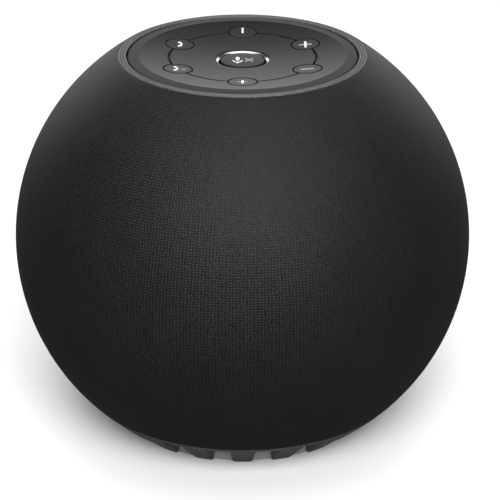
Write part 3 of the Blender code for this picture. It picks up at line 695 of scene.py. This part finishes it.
def bar(cx, cy, width, height, round_r=None, turn_deg=0.0):
    """A closed loop round a bar with round ends."""
    round_r = min(width, height) / 2 * 0.98 if round_r is None else round_r
    out = []
    for sx, sy, start in ((1, 1, 0), (-1, 1, 90), (-1, -1, 180), (1, -1, 270)):
        mx, my = sx * (width / 2 - round_r), sy * (height / 2 - round_r)
        out += arc(mx, my, round_r, start, start + 90, 4)
    a = math.radians(turn_deg)
    return [(cx + x * math.cos(a) - y * math.sin(a), cy + x * math.sin(a) + y * math.cos(a)) for x, y in out]


def handset(cx, cy, wide, tall):
    """A telephone handset: a bent grip with two blunt ends."""
    out = arc(0, 0, 1.0, -75, 75, 12)
    out += [(-0.25, 0.95), (-0.3, 0.62)]
    out += arc(-0.1, 0, 0.56, 55, -55, 8)
    out += [(-0.3, -0.62), (-0.25, -0.95)]
    return [(cx + wide * x, cy + tall * y) for x, y in out]


def symbols():
    x, y = KEY_SPOTS["power_key"]
    symbol("power_mark", [bar(x, y + 1.8, 0.6, 4.2)], "power_key", INK, dish_at)
    x, y = KEY_SPOTS["volume_up_key"]
    symbol("plus_mark_across", [bar(x, y, 4.3, 0.95)], "volume_up_key", DIM_INK, dish_at)
    upright = [bar(x, y, 0.72, 5.2)]
    symbol("plus_mark_upright", upright, "volume_up_key", INK, lambda u, v: dish_at(u, v) + 0.01)
    x, y = KEY_SPOTS["volume_down_key"]
    symbol("minus_mark", [bar(x, y, 4.4, 1.0)], "volume_down_key", DIM_INK, dish_at)
    x, y = KEY_SPOTS["pairing_key"]
    symbol("pairing_mark", [bar(x, y, 0.8, 3.4)], "pairing_key", INK, dish_at)
    rays = [bar(x - 1.1, y, 0.9, 1.2), bar(x + 1.1, y, 0.9, 1.2)]
    symbol("pairing_mark_rays", rays, "pairing_key", FAINT_INK, dish_at)
    x, y = KEY_SPOTS["answer_key"]
    symbol("answer_mark", [handset(x - 0.3, y + 0.2, 1.15, 2.1)], "answer_key", INK, dish_at)
    x, y = KEY_SPOTS["hang_up_key"]
    symbol("hang_up_mark", [handset(x - 1.0, y + 0.3, 1.15, 2.1)], "hang_up_key", INK, dish_at)
    symbol("hang_up_mark_dash", [bar(x + 1.9, y, 1.5, 1.3)], "hang_up_key", FAINT_INK, dish_at)

    def cap_top(x, y):
        return dish_z(0) - 0.12 + 0.05 * (1 - (x * x + y * y) / MUTE_R**2)

    def over_cap(x, y):
        return cap_top(x, y) + 0.01

    mic = MUTE_MIC_X
    symbol("mute_mark", [bar(mic, 1.1, 1.2, 3.2)], "mute_key", INK, cap_top)
    cup = [(mic + 1.7 * a, 2.5 * b) for a, b in arc(0, 0, 1.0, 190, 350, 14)]
    cup += [(mic + 1.35 * a, 1.95 * b) for a, b in arc(0, 0, 1.0, 350, 190, 14)]
    symbol("mute_mark_cup", [cup], "mute_key", INK, cap_top)
    symbol("mute_mark_stem", [bar(mic, -2.8, 0.42, 1.0)], "mute_key", INK, cap_top)
    cross = MUTE_CROSS_X
    symbol("mute_mark_cross_a", [bar(cross, 0.0, 4.0, 0.55, turn_deg=48.0)], "mute_key", DIM_INK, cap_top)
    symbol("mute_mark_cross_b", [bar(cross, 0.0, 4.0, 0.55, turn_deg=-48.0)], "mute_key", DIM_INK, over_cap)


# ---- foot skirt -------------------------------------------------------------------------------------------
def skirt_face_r(z):
    """The skirt follows the ball, then runs straight on below its bend."""
    bend_r = math.sqrt(BALL_R**2 - SKIRT_BEND_Z**2)
    if z > SKIRT_BEND_Z:
        return math.sqrt(BALL_R**2 - z * z)
    return bend_r + (z - SKIRT_BEND_Z) * -SKIRT_BEND_Z / bend_r


def skirt_bore_r(z):
    down = min(1.0, max(0.0, (SLOT_TOP_Z - z) / (SLOT_TOP_Z - TOOTH_LOW_Z)))
    return SKIRT_BORE_R + (SKIRT_FOOT_BORE_R - SKIRT_BORE_R) * down


def skirt():
    """One toothed ring: its face carries on the ball's curve, and each tooth's lower corners are round."""
    pitch = 360.0 / TEETH
    half = pitch / 4
    corner_deg, corner_z = 1.1, 1.1
    low, slot, top = TOOTH_LOW_Z, SLOT_TOP_Z, BALL_R * math.sin(math.radians(SKIRT_TOP_DEG))
    columns = [0.0, half * 0.5, half - corner_deg, half - corner_deg * 0.6, half - corner_deg * 0.25, half]
    heights = [low + (slot - low) * t for t in (0.0, 0.2, 0.4, 0.7, 1.0)] + [top]

    def lowest(angle):
        """The tooth's lower edge, rounded near its sides."""
        past = max(0.0, abs(angle) - (half - corner_deg)) / corner_deg
        return low + corner_z * (1 - math.sqrt(max(0.0, 1 - past * past)))

    bm = bmesh.new()
    cache = {}

    def vert(kind, angle, z):
        key = (kind, round(angle, 4), round(z, 4))
        if key not in cache:
            r = skirt_face_r(z) if kind == "out" else skirt_bore_r(z)
            a = math.radians(angle)
            cache[key] = bm.verts.new((r * math.cos(a), r * math.sin(a), z))
        return cache[key]

    def quad(*corners):
        unique = list(dict.fromkeys(corners))
        if len(unique) > 2:
            bm.faces.new(unique)

    for i in range(TEETH):
        middle = -90.0 + pitch * i
        angles = [middle + s * c for s, cs in ((-1, columns[::-1]), (1, columns[1:])) for c in cs]
        gap = [middle + half + half * 2 * t for t in (0.0, 0.33, 0.67)] + [middle + pitch - half]
        for a, b in zip(angles, angles[1:]):
            za = [max(h, lowest(a - middle)) if k == 0 else h for k, h in enumerate(heights)]
            zb = [max(h, lowest(b - middle)) if k == 0 else h for k, h in enumerate(heights)]
            for k in range(len(heights) - 1):
                quad(
                    vert("out", a, za[k]), vert("out", b, zb[k]),
                    vert("out", b, zb[k + 1]), vert("out", a, za[k + 1]),
                )
                quad(
                    vert("in", a, za[k]), vert("in", a, za[k + 1]),
                    vert("in", b, zb[k + 1]), vert("in", b, zb[k]),
                )
            quad(vert("out", a, za[0]), vert("in", a, za[0]), vert("in", b, zb[0]), vert("out", b, zb[0]))
        for side in (angles[0], angles[-1]):
            z = [lowest(side - middle)] + heights[1:5]
            for k in range(4):
                quad(
                    vert("out", side, z[k]), vert("in", side, z[k]),
                    vert("in", side, z[k + 1]), vert("out", side, z[k + 1]),
                )
        for a, b in zip(gap, gap[1:]):
            quad(vert("out", a, slot), vert("out", b, slot), vert("out", b, top), vert("out", a, top))
            quad(vert("in", a, slot), vert("in", a, top), vert("in", b, top), vert("in", b, slot))
            quad(vert("out", a, slot), vert("in", a, slot), vert("in", b, slot), vert("out", b, slot))
        for a, b in zip(angles + gap[1:], angles[1:] + gap[1:]):
            if a != b:
                quad(vert("out", a, top), vert("out", b, top), vert("in", b, top), vert("in", a, top))
    bmesh.ops.remove_doubles(bm, verts=bm.verts, dist=0.01)
    bmesh.ops.recalc_face_normals(bm, faces=bm.faces)
    obj = link("toothed_skirt", bm, "housing", SKIRT, 30.0)
    soften = obj.modifiers.new("edges", "BEVEL")
    soften.width, soften.segments, soften.limit_method = 0.0003, 2, "ANGLE"
    soften.angle_limit = math.radians(50.0)
    apply_modifiers(obj)
    obj.data.set_sharp_from_angle(angle=math.radians(40.0))
    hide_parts("base_skirt")
    low_r, high_r, high_z = SKIRT_FOOT_BORE_R - 0.3, SKIRT_BORE_R - 0.3, SLOT_TOP_Z
    wall = [(low_r, TOOTH_LOW_Z), (high_r, high_z), (high_r, high_z + 1.4)]
    wall += [(high_r - 0.5, high_z + 1.4), (high_r - 0.5, high_z), (low_r - 0.5, TOOTH_LOW_Z)]
    grille = lathe("grille_band", wall, 240, "housing", MESH)
    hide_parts("sound_grille_ring")


# ---- power socket -----------------------------------------------------------------------------------------
ALONG_Y = Matrix.Rotation(math.radians(-90), 3, "X")


def rounded_bar_bm(width, height, low_y, high_y, radius, steps=8):
    """A bar along Y, round at its four long edges, at the socket's height."""
    bm = bmesh.new()
    outline = []
    for sx, sz, start in ((1, 1, 0), (-1, 1, 90), (-1, -1, 180), (1, -1, 270)):
        cx, cz = sx * (width / 2 - radius), sz * (height / 2 - radius)
        outline += arc(cx, cz, radius, start, start + 90, steps)
    near = [bm.verts.new((x, low_y, PORT_Z + z)) for x, z in outline]
    moved = bmesh.ops.extrude_face_region(bm, geom=[bm.faces.new(near)])["geom"]
    ends = [g for g in moved if isinstance(g, bmesh.types.BMVert)]
    bmesh.ops.translate(bm, vec=(0, high_y - low_y, 0), verts=ends)
    bmesh.ops.recalc_face_normals(bm, faces=bm.faces)
    return bm


def power_socket():
    """The moulded pocket at the back, trimmed to the ball, and the barrel inlet in its floor."""
    width, height = PORT_IN_W + 2 * PORT_WALL, PORT_IN_H + 2 * PORT_WALL
    outer = rounded_bar_bm(width, height, PORT_FLOOR_Y - 2.0, 85.0, 4.5)
    housing = link("socket_housing", outer, "housing", DARK, 35.0)
    ball = lathe("trim_ball", arc(0, 0, BALL_R + 0.2, -90, 90, 120), 240, None, DARK, closed=False)
    pocket = link("trim_pocket", rounded_bar_bm(PORT_IN_W, PORT_IN_H, PORT_FLOOR_Y, 95.0, 3.0), None, DARK)
    tools = [(ball, "INTERSECT"), (pocket, "DIFFERENCE")]
    for name, radius, x in (("trim_inlet", 4.3, 0.0), ("trim_reset", 0.6, 7.2)):
        bm = lathe_bm([(0, 50), (radius, 50), (radius, 60), (0, 60)], 48, closed=False)
        bmesh.ops.rotate(bm, verts=bm.verts, cent=(0, 0, 0), matrix=ALONG_Y)
        bmesh.ops.recalc_face_normals(bm, faces=bm.faces)
        bmesh.ops.translate(bm, vec=(x, 0, PORT_Z), verts=bm.verts)
        tools.append((link(name, bm, None, DARK), "DIFFERENCE"))
    for tool, operation in tools:
        cut = housing.modifiers.new(tool.name, "BOOLEAN")
        cut.operation, cut.solver, cut.object = operation, "EXACT", tool
    soften = housing.modifiers.new("edges", "BEVEL")
    soften.width, soften.segments, soften.limit_method = 0.00025, 2, "ANGLE"
    soften.angle_limit = math.radians(50.0)
    apply_modifiers(housing)
    housing.data.set_sharp_from_angle(angle=math.radians(40.0))
    for tool, _ in tools:
        bpy.data.objects.remove(tool)
    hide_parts("port_housing")
    barrel = [(0, 0), (4.0, 0)] + arc(3.7, 9.8, 0.3, 0, 90, 4) + arc(3.1, 9.9, 0.2, 90, 180, 4)
    barrel += [(2.9, 4.0), (1.0, 4.0)] + arc(0.7, 9.0, 0.3, 0, 60, 3) + [(0, 9.35)]
    bm = lathe_bm(barrel, 64, closed=False)
    bmesh.ops.rotate(bm, verts=bm.verts, cent=(0, 0, 0), matrix=ALONG_Y)
    bmesh.ops.translate(bm, vec=(0, PORT_FLOOR_Y - 9.0, PORT_Z), verts=bm.verts)
    bmesh.ops.recalc_face_normals(bm, faces=bm.faces)
    jack = link("power_jack", bm, "housing", DARK, 35.0)
    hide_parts("power_inlet")


# ---- studio -----------------------------------------------------------------------------------------------
def floor():
    n = Nodes("studio_floor")
    grain = n.noise(8.0, 3.0)
    n.set(Base_Color=n.mix(grain, rgba(0.90), rgba(0.92)), Roughness=0.6, Specular_IOR_Level=0.25)
    bm = bmesh.new()
    side = 3.5
    bmesh.ops.create_grid(bm, x_segments=8, y_segments=8, size=side)
    mesh = bpy.data.meshes.new("studio_floor")
    bm.to_mesh(mesh)
    bm.free()
    mesh.materials.append(n.material)
    obj = bpy.data.objects.new("studio_floor", mesh)
    bpy.context.scene.collection.objects.link(obj)
    obj.visible_glossy = False


def aim(lamp, azimuth, elevation, distance):
    """Places a lamp round the ball's centre and turns it to face there."""
    bpy.context.scene.collection.objects.link(lamp)
    a, e = math.radians(azimuth), math.radians(elevation)
    away = Vector((math.sin(a) * math.cos(e), -math.cos(a) * math.cos(e), math.sin(e)))
    lamp.location = Vector((0, 0, CENTRE_H * MM)) + away * distance
    lamp.rotation_euler = away.to_track_quat("Z", "Y").to_euler()


def softbox(name, azimuth, elevation, distance, width, height, power):
    """A soft area light aimed at the ball. Azimuth 0 is behind the camera, elevation is above the floor."""
    data = bpy.data.lights.new(name, "AREA")
    data.shape = "RECTANGLE"
    data.size, data.size_y, data.energy = width, height, power
    aim(bpy.data.objects.new(name, data), azimuth, elevation, distance)


def gridded_spot(name, azimuth, elevation, distance, beam_radius, lamp_radius, power):
    """A soft spot through a grid, whose beam fades out beam_radius metres from the ball's centre."""
    data = bpy.data.lights.new(name, "SPOT")
    data.spot_size, data.spot_blend = 2 * math.atan(beam_radius / distance), 1.0
    data.shadow_soft_size, data.energy = lamp_radius, power
    aim(bpy.data.objects.new(name, data), azimuth, elevation, distance)


def world():
    made = bpy.data.worlds.new("studio")
    made.use_nodes = True
    made.node_tree.nodes["Background"].inputs["Color"].default_value = rgba(1.0)
    made.node_tree.nodes["Background"].inputs["Strength"].default_value = 0.115
    bpy.context.scene.world = made


def camera():
    """Looks at the ball's centre, turned slightly so that the hub sits where it should in the picture."""
    data = bpy.data.cameras.new("camera")
    data.lens = CAMERA_LENS
    data.sensor_width = 36.0
    data.clip_start, data.clip_end = 0.05, 20.0
    obj = bpy.data.objects.new("camera", data)
    bpy.context.scene.collection.objects.link(obj)
    e = math.radians(CAMERA_ELEVATION)
    centre = Vector((0, 0, CENTRE_H * MM))
    away = Vector((0, -math.cos(e), math.sin(e))) * CAMERA_DISTANCE * MM
    obj.location = centre + away
    straight = away.to_track_quat("Z", "Y")
    nudge = Euler((math.radians(CAMERA_PITCH), math.radians(-CAMERA_YAW), 0.0)).to_quaternion()
    obj.rotation_mode = "QUATERNION"
    obj.rotation_quaternion = straight @ nudge
    bpy.context.scene.camera = obj


dress_solids()
fabric_cover()
top_panel()
keys()
symbols()
skirt()
power_socket()
floor()
world()
gridded_spot("front_spot", 3.0, 32.0, 0.9, 0.058, 0.035, 8.0)
softbox("front_softbox", 4.0, 38.0, 1.3, 1.0, 0.8, 25.0)
softbox("backdrop_glow", 180.0, 12.0, 2.2, 4.0, 1.0, 28.0)
softbox("top_softbox", 180.0, 85.0, 1.5, 1.6, 1.6, 17.0)
camera()
bpy.context.scene.view_settings.view_transform = "Standard"
